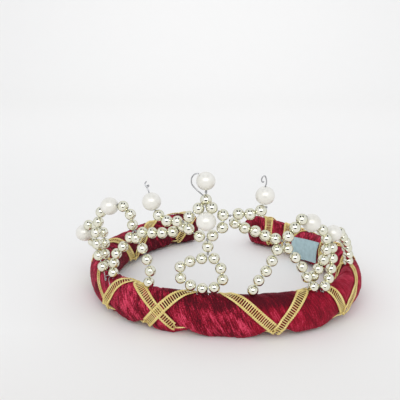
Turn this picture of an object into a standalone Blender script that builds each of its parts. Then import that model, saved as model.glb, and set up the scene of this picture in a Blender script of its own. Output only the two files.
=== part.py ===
"""A diadem: an open padded velvet hoop wound with two gold braids, on which wired strings of
silver beads and pearls stand up as a centre flower, two side fleurons and two side loops."""

import math

import bmesh
import bpy
import numpy as np
from mathutils import Vector

MM = 0.001

# The hoop lies flat. Its centre line is a slightly squeezed circle, open at the back.
# Angles are seen from above in degrees: 0 is right, 90 the back, 180 left, 270 the front.
HOOP_RADIUS = 76 * MM
HOOP_SKEW = 0.030
HOOP_PINCH = 0.050
HOOP_CENTRE = (1.05 * MM, -0.4 * MM)
LEFT_END = 103.0
RIGHT_END = 435.0
BAND_THICKNESS = 13.6 * MM
BAND_HEIGHT = 22.4 * MM
BAND_SQUARENESS = 2.3
BAND_SECTIONS = 66
BAND_SIDES = 14
END_ROUNDING = 7 * MM
END_TIPS = (0.0, 0.1, 0.4, 1.0)  # sections over the rounding, as shares of it
END_TIP_FILL = 0.14

# The velvet is wound on in a spiral, which shows as slanting folds over a slower swell.
FOLD_DEPTH = 0.27 * MM
FOLDS_PER_TURN = 16
SWELL_DEPTH = 0.18 * MM
SWELLS_PER_TURN = 8
SWELL_START = 57.0

# Gold braid: one row for each pass over the outer face, as the angles of its top and bottom.
BRAID_WIDTH = 4.5 * MM
BRAID_THICKNESS = 0.8 * MM
BRAID_STEPS_PER_PASS = BAND_SIDES // 2
BRAID_END_MARGIN = 0.75 * END_ROUNDING
SEAT_GAP = 0.72 * MM
CROSSING_GAP = 0.40 * MM

# Where the two cross, the rising braid climbs over the falling one: it starts to climb at
# CLIMB_START from it, is up after CLIMB_RUN and clears it by CLIMB_GAP. Under the hoop the
# three layers lie flat on each other, the rising braid lowest.
CLIMB_START = 11.0 * MM
CLIMB_RUN = 3.5 * MM
CLIMB_GAP = 0.70 * MM
RISING_UNDERSIDE = 0.0
FALLING_UNDERSIDE = BRAID_THICKNESS + CROSSING_GAP
BAND_UNDERSIDE = FALLING_UNDERSIDE + BRAID_THICKNESS + SEAT_GAP
FALLING_BRAID = (  # angle at the top, angle at the bottom
    (110, 150),
    (172, 190),
    (204, 229),
    (231, 260),
    (269, 296),
    (313, 324),
    (352, 368),
    (374, 400),
    (408, 416),
    (422, 434),
)
RISING_BRAID = (  # angle at the bottom, angle at the top
    (82, 103),
    (124, 131),
    (166, 191),
    (211, 225),
    (231, 252),
    (283, 302),
    (309, 338),
    (356, 366),
    (373, 396),
    (412, 425),
)

# Pale blue patch stuck inside the hoop.
PATCH_ANGLES = (17, 38)
PATCH_WINDINGS = (140, 228)
PATCH_THICKNESS = 0.8 * MM
PATCH_STEPS = 7

# Beads, pearls and wire
BEAD_RADIUS = 3.0 * MM
WIRE_RADIUS = 0.3 * MM
HOLE_RADIUS = 0.75 * MM
TOUCH = 0.35 * MM
BEAD_RING_ANGLES = (50, 90, 130)  # between the two holes, in degrees from the bore
BORE_REACH = 0.9 * BEAD_RADIUS  # a bead's bore follows the wire over this much each way
PEARL_SEGMENTS = 12
PEARL_RINGS = 6
PEARL_FLATNESS = 0.96
ROUTE_STEPS = 24
SHARP_ANGLE = 40

# Places on the crown: angle round the hoop, height over the table in mm, outward lean in mm.
PEARLS = {  # name: angle, height, lean, radius in mm
    "flower_pearl": (-98.3, 64.7, 5.6, 4.7),
    "top_pearl": (-98.4, 84.9, 0.0, 4.9),
    "left_spike_pearl": (-122.4, 71.2, -1.5, 5.0),
    "right_spike_pearl": (-75.0, 77.9, 0.8, 4.9),
    "left_loop_pearl": (-141.2, 65.4, 4.0, 5.0),
    "right_loop_pearl": (-55.0, 60.8, -0.8, 5.0),
    "left_side_pearl": (-162.5, 41.4, 9.4, 5.1),
    "right_side_pearl": (-42.3, 51.4, -2.0, 4.7),
}


def hoop_radius(angle):
    """Radius of the hoop's centre line at an angle in degrees."""
    turn = math.radians(angle)
    return HOOP_RADIUS * (1 - HOOP_SKEW * math.sin(2 * turn) - HOOP_PINCH * math.sin(3 * turn))


def crown_point(angle, height, lean):
    """A point over the hoop's centre line; height and lean are in metres."""
    radius = hoop_radius(angle) + lean
    turn = math.radians(angle)
    x = HOOP_CENTRE[0] + radius * math.cos(turn)
    y = HOOP_CENTRE[1] + radius * math.sin(turn)
    return Vector((x, y, height))


def folds(angle, winding):
    """How far the wound velvet swells out at a place on the band."""
    turn = math.radians(angle)
    wound = math.radians(winding)
    fold = math.sin(FOLDS_PER_TURN * turn + wound)
    swell = math.sin(SWELLS_PER_TURN * turn - 2 * wound + math.radians(SWELL_START))
    return FOLD_DEPTH * fold + SWELL_DEPTH * swell


def band_point(angle, winding, lift=0.0, lowest=BAND_UNDERSIDE, share=1.0):
    """A place on the band: winding 0 is the outer face, 90 the top, 180 the inner face."""
    wound = math.radians(winding)
    half_width = BAND_THICKNESS / 2
    half_height = BAND_HEIGHT / 2
    across = math.cos(wound)
    upright = math.sin(wound)
    reach = (abs(across) ** BAND_SQUARENESS + abs(upright) ** BAND_SQUARENESS) ** (-1 / BAND_SQUARENESS)
    across *= reach
    upright *= reach
    slope_x = math.copysign(abs(across) ** (BAND_SQUARENESS - 1), across) / half_width
    slope_z = math.copysign(abs(upright) ** (BAND_SQUARENESS - 1), upright) / half_height
    slope = math.hypot(slope_x, slope_z)
    proud = lift + folds(angle, winding)
    lean = (half_width * across + proud * slope_x / slope) * share
    height = half_height + (half_height * upright + proud * slope_z / slope) * share
    return crown_point(angle, max(height, lowest), lean)


def new_object(name, data, material):
    """An object in the diadem's collection with its finish."""
    obj = bpy.data.objects.new(name, data)
    data.materials.append(material)
    DIADEM.objects.link(obj)
    return obj


def finish(name, colour, metallic, roughness):
    """A Principled material."""
    material = bpy.data.materials.new(name)
    material.use_nodes = True
    shader = material.node_tree.nodes["Principled BSDF"]
    shader.inputs["Base Color"].default_value = (*colour, 1.0)
    shader.inputs["Metallic"].default_value = metallic
    shader.inputs["Roughness"].default_value = roughness
    return material


def loft(name, rings, material):
    """A closed solid through rings of points, with flat ends."""
    mesh = bpy.data.meshes.new(name)
    shape = bmesh.new()
    loops = [[shape.verts.new(point) for point in ring] for ring in rings]
    for before, after in zip(loops, loops[1:]):
        for i in range(len(before)):
            j = (i + 1) % len(before)
            shape.faces.new((before[i], before[j], after[j], after[i]))
    shape.faces.new(loops[0])
    shape.faces.new(reversed(loops[-1]))
    bmesh.ops.recalc_face_normals(shape, faces=shape.faces)
    shape.to_mesh(mesh)
    shape.free()
    mesh.shade_smooth()
    mesh.set_sharp_from_angle(angle=math.radians(SHARP_ANGLE))
    return new_object(name, mesh, material)


def end_share(angle):
    """How full the band's section is near its rounded ends."""
    radius = hoop_radius(angle)
    to_end = math.radians(min(angle - LEFT_END, RIGHT_END - angle)) * radius
    inside = max(0.0, 1 - to_end / END_ROUNDING)
    return max(END_TIP_FILL, math.sqrt(1 - inside**2))


def velvet_band(material):
    """The padded hoop with its rounded ends, flat where it rests."""
    rounding = math.degrees(END_ROUNDING / HOOP_RADIUS)
    angles = [LEFT_END + rounding * tip for tip in END_TIPS]
    angles += list(np.linspace(LEFT_END + rounding, RIGHT_END - rounding, BAND_SECTIONS)[1:-1])
    angles += [RIGHT_END - rounding * tip for tip in reversed(END_TIPS)]
    windings = [360 * (i + 0.5) / BAND_SIDES for i in range(BAND_SIDES)]
    rings = [[band_point(a, w, share=end_share(a)) for w in windings] for a in angles]
    return loft("velvet_band", rings, material)


def braid_path(passes, falling):
    """(angle, winding) along a braid, its windings counted on from pass to pass."""
    knots = []
    for number, (first, second) in enumerate(passes):
        if falling:
            knots += [(first, 90 - 360 * number), (second, -90 - 360 * number)]
        else:
            knots += [(first, -90 + 360 * number), (second, 90 + 360 * number)]
    path = []
    for (angle_a, winding_a), (angle_b, winding_b) in zip(knots, knots[1:]):
        for step in range(BRAID_STEPS_PER_PASS):
            part = step / BRAID_STEPS_PER_PASS
            angle = angle_a + (angle_b - angle_a) * part
            path.append((angle, winding_a + (winding_b - winding_a) * part))
    path.append(knots[-1])
    margin = math.degrees(BRAID_END_MARGIN / HOOP_RADIUS)
    return [place for place in path if LEFT_END + margin < place[0] < RIGHT_END - margin]


def braid_spread(path, number):
    """Half the angle of the hoop that the braid's width covers at one step of its path."""
    angle, winding = path[number]
    before = path[max(number - 1, 0)]
    after = path[min(number + 1, len(path) - 1)]
    along = (band_point(*after) - band_point(*before)).normalized()
    one_degree = band_point(angle + 0.5, winding) - band_point(angle - 0.5, winding)
    tilt = one_degree.normalized().dot(along)
    return BRAID_WIDTH / 2 / one_degree.length / math.sqrt(1 - tilt**2)


def gold_braid(name, path, lifts, underside, material):
    """A flat braid wound on the band, raised by its lift at each step."""
    rings = []
    for number, lift in enumerate(lifts):
        angle, winding = path[number]
        spread = braid_spread(path, number)
        left, right = angle - spread, angle + spread
        over = lift + BRAID_THICKNESS
        rings.append([band_point(left, winding, lift, underside + BRAID_THICKNESS),
                      band_point(right, winding, lift, underside + BRAID_THICKNESS),
                      band_point(right, winding, over, underside),
                      band_point(left, winding, over, underside)])
    return loft(name, rings, material)


def crossing_lifts(path, other):
    """The lifts of a braid that climbs over another one where they cross."""
    step = BRAID_THICKNESS + CLIMB_GAP
    others = [band_point(*place) for place in other]
    lifts = []
    for place in path:
        here = band_point(*place)
        apart = min(segment_distance(here, a, b) for a, b in zip(others, others[1:]))
        share = min(1.0, max(0.0, (CLIMB_START - apart) / CLIMB_RUN))
        lifts.append(SEAT_GAP + step * share)
    return lifts


def segment_distance(point, start, end):
    """Distance from a point to a straight stretch."""
    run = end - start
    part = min(1.0, max(0.0, (point - start).dot(run) / run.length_squared))
    return (point - start - run * part).length


def inner_patch(material):
    """A thin patch lying against the inner face."""
    low, high = PATCH_WINDINGS
    windings = np.linspace(low, high, PATCH_STEPS)
    rings = []
    for angle in np.linspace(*PATCH_ANGLES, PATCH_STEPS):
        under = [band_point(angle, w, SEAT_GAP) for w in windings]
        over = [band_point(angle, w, SEAT_GAP + PATCH_THICKNESS) for w in reversed(windings)]
        rings.append(under + over)
    return loft("inner_patch", rings, material)


def smooth_route(rows, closed=False, steps=ROUTE_STEPS):
    """A smooth line through (angle, height, lean) rows as points in space."""
    places = [crown_point(angle, height * MM, lean * MM) for angle, height, lean in rows]
    if closed:
        places = [places[-1], *places, places[0], places[1]]
    else:
        places = [places[0] * 2 - places[1], *places, places[-1] * 2 - places[-2]]
    line = []
    for a, b, c, d in zip(places, places[1:], places[2:], places[3:]):
        for step in range(steps):
            t = step / steps
            line.append(0.5 * (2 * b + (c - a) * t + (2 * a - 5 * b + 4 * c - d) * t**2
                               + (3 * b - a - 3 * c + d) * t**3))
    line.append(places[-2])
    return line


def along_route(line, distance):
    """The point and direction at a distance along a line."""
    for before, after in zip(line, line[1:]):
        run = after - before
        if distance <= run.length:
            break
        distance -= run.length
    direction = run.normalized()
    return before + direction * min(distance, run.length), direction


def route_length(line):
    """Length of a line."""
    return sum((after - before).length for before, after in zip(line, line[1:]))


def bead_places(line, beads, start, end, closed=False):
    """Centres and directions of evenly spaced beads, the first and last at given distances
    from the line's start and end."""
    length = route_length(line)
    if closed:
        distances = [length * i / beads for i in range(beads)]
    elif beads == 1:
        distances = [start]
    else:
        distances = list(np.linspace(start, length - end, beads))
    places = []
    for distance in distances:
        centre, _ = along_route(line, distance)
        if closed:
            before, _ = along_route(line, (distance - BORE_REACH) % length)
            after, _ = along_route(line, (distance + BORE_REACH) % length)
        else:
            before, _ = along_route(line, max(0.0, distance - BORE_REACH))
            after, _ = along_route(line, min(length, distance + BORE_REACH))
        places.append((centre, (after - before).normalized()))
    return places


def bead_profile():
    """(distance along the bore, radius) at the rings of one bead."""
    hole = math.asin(HOLE_RADIUS / BEAD_RADIUS)
    angles = [hole, *(math.radians(ring) for ring in BEAD_RING_ANGLES), math.pi - hole]
    return [(-BEAD_RADIUS * math.cos(a), BEAD_RADIUS * math.sin(a)) for a in angles]


def bead_string(name, rows, beads, material, start=(0, 3), end=(0, 3), closed=False):
    """A wired string of beads as one swelling curve. start and end give, in mm, where the
    wire begins and where the end bead's centre lies, from the ends of the route."""
    line = smooth_route(rows, closed)
    length = route_length(line)
    points = []
    if not closed:
        points.append((along_route(line, start[0] * MM)[0], WIRE_RADIUS))
    for centre, direction in bead_places(line, beads, start[1] * MM, end[1] * MM, closed):
        points += [(centre + direction * along, radius) for along, radius in bead_profile()]
    if not closed:
        points.append((along_route(line, length - end[0] * MM)[0], WIRE_RADIUS))
    return wire(name, points, material, closed, resolution=3)


def wire(name, points, material, closed=False, resolution=1):
    """A round wire through (point, radius) pairs."""
    curve = bpy.data.curves.new(name, "CURVE")
    curve.dimensions = "3D"
    curve.bevel_depth = 1.0 * MM
    curve.bevel_resolution = resolution
    curve.use_fill_caps = True
    spline = curve.splines.new("POLY")
    spline.points.add(len(points) - 1)
    for knot, (place, radius) in zip(spline.points, points):
        knot.co = (*place, 1.0)
        knot.radius = radius / curve.bevel_depth
    spline.use_cyclic_u = closed
    spline.use_smooth = True
    return new_object(name, curve, material)


def bare_wire(name, rows, material, steps=3):
    """A length of bare wire bent through rows."""
    line = smooth_route(rows, steps=steps)
    return wire(name, [(point, WIRE_RADIUS) for point in line], material)


def pearl(name, material):
    """A round pearl, slightly flattened along its bore."""
    angle, height, lean, radius = PEARLS[name]
    mesh = bpy.data.meshes.new(name)
    shape = bmesh.new()
    bmesh.ops.create_uvsphere(shape, u_segments=PEARL_SEGMENTS, v_segments=PEARL_RINGS, radius=radius * MM)
    shape.to_mesh(mesh)
    shape.free()
    mesh.shade_smooth()
    obj = new_object(name, mesh, material)
    obj.location = crown_point(angle, height * MM, lean * MM)
    obj.scale = (1.0, 1.0, PEARL_FLATNESS)
    return obj


def at_pearl(name):
    """The row of a pearl's centre."""
    return PEARLS[name][:3]


def pearl_end(name):
    """Where the wire stops and the next bead sits beside a pearl."""
    radius = PEARLS[name][3]
    return radius + TOUCH / MM, radius + BEAD_RADIUS / MM + TOUCH / MM


for old in list(bpy.data.objects):
    bpy.data.objects.remove(old, do_unlink=True)
DIADEM = bpy.data.collections.new("diadem")
bpy.context.scene.collection.children.link(DIADEM)

VELVET = finish("crimson velvet", (0.28, 0.012, 0.03), 0.0, 0.8)
GOLD = finish("gold braid", (0.66, 0.45, 0.14), 0.6, 0.45)
PATCH = finish("pale blue patch", (0.36, 0.55, 0.62), 0.0, 0.8)
SILVER = finish("silver bead", (0.80, 0.79, 0.70), 1.0, 0.12)
PEARL = finish("cream pearl", (0.86, 0.83, 0.78), 0.0, 0.15)
STEEL = finish("bright wire", (0.62, 0.62, 0.60), 1.0, 0.25)

velvet_band(VELVET)
falling_path = braid_path(FALLING_BRAID, True)
rising_path = braid_path(RISING_BRAID, False)
gold_braid("falling_braid", falling_path, [SEAT_GAP] * len(falling_path), FALLING_UNDERSIDE, GOLD)
gold_braid("rising_braid", rising_path, crossing_lifts(rising_path, falling_path), RISING_UNDERSIDE, GOLD)
inner_patch(PATCH)
for pearl_name in PEARLS:
    pearl(pearl_name, PEARL)

# Centre: a lying loop on the band, one bead on the twist above it, the flower and its top.
bead_string("centre_loop", (
    (-94.8, 43.6, 0.6),
    (-92.2, 38.8, 0.8),
    (-90.9, 33.0, 1.0),
    (-94.2, 27.6, 1.0),
    (-99.0, 26.3, 1.0),
    (-104.4, 27.7, 1.2),
    (-108.8, 31.4, 1.2),
    (-109.0, 37.6, 1.0),
    (-104.8, 41.2, 0.8),
    (-100.0, 43.2, 0.6),
), 10, SILVER, closed=True)
bead_string("centre_stem", ((-97.4, 45.7, 0.8), (-97.4, 50.0, 0.8), (-97.6, 55.0, 2.4)), 1, SILVER, (0, 4.4))
bead_string("flower_ring", (
    (-100.8, 71.2, 3.2),
    (-95.4, 71.8, 3.2),
    (-91.4, 68.4, 3.2),
    (-91.2, 62.4, 3.2),
    (-94.8, 57.3, 3.2),
    (-101.1, 56.5, 3.2),
    (-105.1, 60.8, 3.2),
    (-104.5, 66.6, 3.2),
), 8, SILVER, closed=True)
bead_string("top_stem", ((-98.3, 71.4, -0.8), (-98.4, 74.8, -0.8), at_pearl("top_pearl")), 1, SILVER,
            (0, 3.4), (pearl_end("top_pearl")[0], 0))
bare_wire("top_pearl_wire", (
    (-101.3, 88.8, 0.8),
    (-103.7, 87.0, 1.4),
    (-103.8, 83.6, 1.6),
    (-101.6, 80.2, 1.6),
    (-99.4, 77.8, 1.2),
), STEEL)

# Left fleuron: a strand from the flower crosses over into a raised loop with two legs.
bead_string("left_strand", (
    (-106.5, 59.6, -3.4),
    (-108.4, 59.4, -3.2),
    (-112.4, 56.4, -0.6),
    (-117.0, 55.3, 0.2),
    (-121.5, 54.6, 0.4),
    (-125.8, 54.0, 0.8),
    (-128.9, 54.2, 1.6),
), 5, SILVER, (0.2, 3.2), (0.3, 4.2))
bead_string("left_spike", (
    (-107.4, 63.2, 1.2),
    (-110.8, 63.0, 1.8),
    (-116.0, 62.9, 1.2),
    (-119.6, 66.2, -0.4),
    at_pearl("left_spike_pearl"),
), 3, SILVER, (0, 3.2), pearl_end("left_spike_pearl"))
bare_wire("left_spike_tip", (
    (-123.4, 76.4, -1.4),
    (-124.4, 78.6, -1.6),
    (-125.4, 80.6, -1.8),
), STEEL)
bead_string("left_loop_rise", (
    (-133.2, 51.8, -3.4),
    (-134.2, 55.4, -3.4),
    (-133.8, 60.9, -2.0),
    (-135.0, 65.8, 0.0),
    at_pearl("left_loop_pearl"),
), 3, SILVER, (0, 3.6), pearl_end("left_loop_pearl"))
bead_string("left_loop_fall", (
    at_pearl("left_loop_pearl"),
    (-146.6, 59.4, 6.0),
    (-147.0, 53.6, 6.8),
    (-148.2, 46.9, 7.8),
    (-147.6, 40.7, 7.6),
    (-147.2, 34.2, 7.2),
    (-145.4, 28.8, 6.4),
    (-144.8, 23.6, 5.7),
    (-144.6, 19.6, 5.2),
), 6, SILVER, pearl_end("left_loop_pearl"), (0.4, 9.2))
bead_string("left_outer_leg", (
    (-134.4, 51.0, -2.4),
    (-134.6, 48.0, -2.1),
    (-136.2, 43.4, 0.6),
    (-139.0, 38.8, 2.4),
    (-140.8, 32.5, 2.8),
    (-141.9, 26.2, 2.6),
    (-142.0, 22.1, 2.4),
), 5, SILVER, (0, 3.1), (0.5, 3.6))
bead_string("left_inner_leg", (
    (-130.6, 52.4, 0.4),
    (-129.3, 49.2, 0.3),
    (-126.2, 44.3, 0.4),
    (-124.2, 38.8, 0.4),
    (-122.5, 33.0, 0.8),
    (-123.0, 26.8, 1.2),
    (-123.2, 22.5, 1.2),
), 5, SILVER, (0, 3.1), (0.2, 3.6))
bead_string("left_side_rise", (
    (-149.8, 22.6, 0.8),
    (-150.4, 26.4, 1.0),
    (-151.0, 32.2, 1.2),
    (-151.0, 38.2, 1.0),
    (-151.2, 44.2, 1.2),
    (-154.2, 47.8, 2.4),
    (-158.0, 48.8, 6.4),
    at_pearl("left_side_pearl"),
), 6, SILVER, (0.5, 3.6), pearl_end("left_side_pearl"))
bead_string("left_side_fall", (
    at_pearl("left_side_pearl"),
    (-167.4, 36.6, 7.2),
    (-169.6, 31.4, 4.4),
    (-171.6, 27.4, 1.4),
    (-172.2, 23.6, 0.0),
), 3, SILVER, pearl_end("left_side_pearl"), (0.7, 4.0))

# Right fleuron, the same made the other way round.
bead_string("right_strand", (
    (-88.6, 63.2, -3.6),
    (-87.0, 62.6, -3.2),
    (-83.2, 60.5, -1.2),
    (-79.1, 59.2, 0.0),
    (-74.8, 56.5, 0.0),
    (-70.4, 54.5, 0.4),
    (-67.6, 53.2, 1.4),
), 5, SILVER, (0.2, 3.2), (0.3, 4.2))
bead_string("right_spike", (
    (-89.0, 67.2, 1.0),
    (-85.5, 68.2, 0.8),
    (-80.5, 68.3, 1.0),
    (-76.0, 70.8, 1.2),
    at_pearl("right_spike_pearl"),
), 3, SILVER, (0, 5.0), pearl_end("right_spike_pearl"))
bare_wire("right_spike_hook", (
    (-74.8, 83.2, 1.0),
    (-74.5, 86.4, 1.0),
    (-75.5, 88.4, 1.0),
    (-76.8, 86.8, 1.0),
    (-76.8, 85.0, 1.0),
    (-75.9, 84.1, 1.0),
), STEEL)
bead_string("right_loop_rise", (
    (-68.4, 52.6, 4.2),
    (-66.4, 56.4, 3.4),
    (-63.2, 61.0, 2.4),
    (-60.0, 64.2, 1.0),
    at_pearl("right_loop_pearl"),
), 3, SILVER, (0, 4.6), pearl_end("right_loop_pearl"))
bead_string("right_loop_fall", (
    at_pearl("right_loop_pearl"),
    (-51.4, 57.4, -0.2),
    (-48.8, 52.8, 0.5),
    (-48.6, 45.8, 1.3),
    (-49.6, 39.4, 1.0),
    (-51.0, 34.2, -0.4),
    (-50.9, 28.9, -3.5),
    (-50.8, 24.5, -3.8),
), 6, SILVER, pearl_end("right_loop_pearl"), (0, 4.4))
bead_string("right_outer_leg", (
    (-66.3, 51.2, 0.0),
    (-64.9, 48.0, -0.4),
    (-61.9, 42.9, 0.0),
    (-59.3, 38.0, 0.4),
    (-57.6, 32.8, 0.6),
    (-54.9, 26.9, 1.5),
    (-53.4, 22.2, 2.7),
), 5, SILVER, (0, 3.4), (0.5, 3.6))
bead_string("right_inner_leg", (
    (-68.6, 51.6, 2.0),
    (-70.3, 48.2, 2.0),
    (-72.0, 42.6, 2.0),
    (-73.8, 37.4, 1.6),
    (-76.6, 31.9, 1.2),
    (-78.6, 26.8, 0.6),
    (-79.0, 22.5, 0.4),
), 5, SILVER, (0, 3.4), (0.5, 3.6))
bead_string("right_side_rise", (
    (-50.9, 21.4, 3.5),
    (-49.8, 25.9, 3.6),
    (-46.6, 28.2, 1.6),
    (-44.7, 32.4, 0.4),
    (-43.7, 38.0, -0.2),
    (-43.0, 43.6, -1.4),
    at_pearl("right_side_pearl"),
), 5, SILVER, (0.5, 3.8), pearl_end("right_side_pearl"))
bead_string("right_side_fall", (
    at_pearl("right_side_pearl"),
    (-37.4, 50.4, -2.4),
    (-34.2, 46.4, -2.6),
    (-31.0, 42.0, -2.0),
    (-28.2, 37.0, -2.0),
    (-26.2, 31.6, -1.6),
    (-24.5, 27.4, -1.7),
    (-23.6, 24.2, -1.6),
), 6, SILVER, pearl_end("right_side_pearl"), (0.5, 3.6))
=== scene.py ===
"""A velvet diadem: an open padded hoop wound with gold ladder braid, with a wired crown of silver
beads and pearls. After the set and the light, each section makes one piece or a group of like
pieces, in the order in which the diadem is put together. Angles go round the hoop in degrees, with
the front at 270, and windings go round its padded band, from 0 at the outer face over 90 on top."""

import math

import bpy
import numpy as np
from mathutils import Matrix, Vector, kdtree, noise


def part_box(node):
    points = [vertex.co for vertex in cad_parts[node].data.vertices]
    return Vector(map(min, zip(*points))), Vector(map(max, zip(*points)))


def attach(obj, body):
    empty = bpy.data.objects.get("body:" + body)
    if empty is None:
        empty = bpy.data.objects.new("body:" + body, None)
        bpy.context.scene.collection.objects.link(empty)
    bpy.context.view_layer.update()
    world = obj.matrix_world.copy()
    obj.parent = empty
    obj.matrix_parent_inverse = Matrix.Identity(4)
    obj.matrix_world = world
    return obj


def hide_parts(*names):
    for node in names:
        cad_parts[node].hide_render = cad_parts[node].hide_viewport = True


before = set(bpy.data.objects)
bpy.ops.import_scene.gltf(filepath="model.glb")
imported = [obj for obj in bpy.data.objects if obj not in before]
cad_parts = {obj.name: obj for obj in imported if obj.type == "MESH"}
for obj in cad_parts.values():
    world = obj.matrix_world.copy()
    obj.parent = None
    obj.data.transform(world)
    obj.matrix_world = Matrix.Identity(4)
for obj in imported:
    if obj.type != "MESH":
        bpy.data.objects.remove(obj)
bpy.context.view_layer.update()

# The set: a seamless sheet of pale paper that lies flat and rises well behind the hoop, and a
# camera that looks down on the front of the diadem.
MM = 0.001
CAMERA_PLACE = (-5.92 * MM, -380.13 * MM, 163.51 * MM)
CAMERA_TILT = 16.01
CAMERA_TURN = 1.197
FOCAL_LENGTH = 56.76
SWEEP_HALF_WIDTH = 1.6
SWEEP_FRONT = -1.2
SWEEP_BACK = 0.9
SWEEP_BEND = 0.5
SWEEP_HEIGHT = 1.4
PAPER_COLOUR = (0.87, 0.86, 0.84, 1)
# The paper's painted shadow: its greyer colour in front of the diadem, and the depths between which it
# fades into the paper's own colour.
PAPER_SHADOW_COLOUR = (0.80, 0.785, 0.76, 1)
PAPER_SHADOW_FROM = -0.135
PAPER_SHADOW_TO = -0.07


def new_material(name):
    """A node material and its shader."""
    material = bpy.data.materials.new(name)
    material.use_nodes = True
    return material, material.node_tree.nodes["Principled BSDF"]


def add_node(material, kind, **values):
    """A node with its settings and the values of its sockets."""
    node = material.node_tree.nodes.new(kind)
    for key, value in values.items():
        if key in node.inputs:
            node.inputs[key].default_value = value
        else:
            setattr(node, key, value)
    return node


def join(material, source, target):
    """Links two sockets."""
    material.node_tree.links.new(source, target)


def new_piece(name, points, faces, material):
    """A mesh object from arrays of points and faces."""
    mesh = bpy.data.meshes.new(name)
    mesh.from_pydata([tuple(p) for p in points], [], [tuple(f) for f in faces])
    mesh.materials.append(material)
    mesh.polygons.foreach_set("use_smooth", [True] * len(mesh.polygons))
    mesh.update()
    piece = bpy.data.objects.new(name, mesh)
    bpy.context.scene.collection.objects.link(piece)
    return piece


def paper():
    """Matt white paper, with a painted shadow that greys it in front of the diadem."""
    material, shader = new_material("pale paper")
    place = add_node(material, "ShaderNodeTexCoord").outputs["Object"]
    parts = add_node(material, "ShaderNodeSeparateXYZ")
    # Painted shadow: greyer in front of the diadem, fading into the paper's own colour further back.
    share = add_node(material, "ShaderNodeMapRange")
    share.inputs["From Min"].default_value = PAPER_SHADOW_FROM
    share.inputs["From Max"].default_value = PAPER_SHADOW_TO
    mixed = add_node(material, "ShaderNodeMix", data_type="RGBA", A=PAPER_SHADOW_COLOUR, B=PAPER_COLOUR)
    join(material, place, parts.inputs["Vector"])
    join(material, parts.outputs["Y"], share.inputs["Value"])
    join(material, share.outputs["Result"], mixed.inputs["Factor"])
    join(material, mixed.outputs["Result"], shader.inputs["Base Color"])
    shader.inputs["Roughness"].default_value = 0.9
    shader.inputs["Specular IOR Level"].default_value = 0.1
    return material


def sweep_profile():
    """(y, z) of the sweep from front to back."""
    profile = [(SWEEP_FRONT, 0.0), (0.0, 0.0)]
    for turn in np.radians(np.linspace(0, 90, 13)):
        profile.append((SWEEP_BACK + SWEEP_BEND * math.sin(turn), SWEEP_BEND * (1 - math.cos(turn))))
    profile.append((SWEEP_BACK + SWEEP_BEND, SWEEP_HEIGHT))
    return profile


edge = sweep_profile()
sweep_points = [(x, y, z) for y, z in edge for x in (-SWEEP_HALF_WIDTH, SWEEP_HALF_WIDTH)]
sweep_faces = [(2 * i, 2 * i + 1, 2 * i + 3, 2 * i + 2) for i in range(len(edge) - 1)]
new_piece("paper_sweep", sweep_points, sweep_faces, paper())

camera = bpy.data.objects.new("camera", bpy.data.cameras.new("camera"))
camera.data.lens = FOCAL_LENGTH
camera.data.sensor_width = 36
camera.data.clip_start = 0.01
camera.location = CAMERA_PLACE
camera.rotation_euler = (math.radians(90 - CAMERA_TILT), 0, math.radians(CAMERA_TURN))
bpy.context.scene.collection.objects.link(camera)
bpy.context.scene.camera = camera
bpy.context.scene.view_settings.view_transform = "Standard"

# The light: a white room, a wide soft lamp low in front and a lamp on the back of the paper. Bright
# beads also mirror dark things in such a room: the camera on its stand, and two ceiling shades.
ROOM_COLOUR = (0.94, 0.96, 1.0, 1)
ROOM_STRENGTH = 0.86
LAMP_PLACE = (-0.04, -0.80, 0.58)
LAMP_SIZE = (0.95, 0.42)
LAMP_POWER = 3.5
BACK_LAMP_PLACE = (0.0, 0.55, 1.0)
BACK_LAMP_TARGET = (0.0, 1.4, 0.45)
BACK_LAMP_SIZE = (0.9, 0.9)
BACK_LAMP_POWER = 2.9
SHADE_COLOUR = (0.01, 0.01, 0.012, 1)
SHADES = {  # name: centre, width, length, tilt from lying flat in degrees
    "camera_shade": ((-0.012, -0.52, 0.095), 0.40, 0.185, 88),
    "left_shade": ((-0.37, -0.20, 0.95), 0.36, 0.76, 0),
    "right_shade": ((0.37, -0.20, 0.95), 0.36, 0.76, 0),
}


def room_light():
    """Even white light from all round."""
    world = bpy.data.worlds.new("white room")
    bpy.context.scene.world = world
    world.use_nodes = True
    background = world.node_tree.nodes["Background"]
    background.inputs["Color"].default_value = ROOM_COLOUR
    background.inputs["Strength"].default_value = ROOM_STRENGTH


def soft_lamp(name, place, size, power, target=(0, 0, 0.03)):
    """A soft box that faces the diadem, or another target."""
    lamp = bpy.data.objects.new(name, bpy.data.lights.new(name, "AREA"))
    lamp.data.shape = "RECTANGLE"
    lamp.data.size, lamp.data.size_y = size
    lamp.data.energy = power
    lamp.location = place
    away = Vector(place) - Vector(target)
    lamp.rotation_euler = away.to_track_quat("Z", "Y").to_euler()
    bpy.context.scene.collection.objects.link(lamp)


def shade_card(name, place, width, length, tilt):
    """A dark card that shows only in reflections."""
    material, shader = new_material(name)
    shader.inputs["Base Color"].default_value = SHADE_COLOUR
    shader.inputs["Roughness"].default_value = 1.0
    corners = [(-width / 2, -length / 2, 0), (width / 2, -length / 2, 0),
               (width / 2, length / 2, 0), (-width / 2, length / 2, 0)]
    card = new_piece(name, corners, [(0, 1, 2, 3)], material)
    card.location = place
    card.rotation_euler = (math.radians(tilt), 0, 0)
    card.visible_camera = card.visible_diffuse = card.visible_shadow = False


room_light()
soft_lamp("front_lamp", LAMP_PLACE, LAMP_SIZE, LAMP_POWER)
soft_lamp("back_lamp", BACK_LAMP_PLACE, BACK_LAMP_SIZE, BACK_LAMP_POWER, BACK_LAMP_TARGET)
for shade_name, (place, width, length, tilt) in SHADES.items():
    shade_card(shade_name, place, width, length, tilt)

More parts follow.
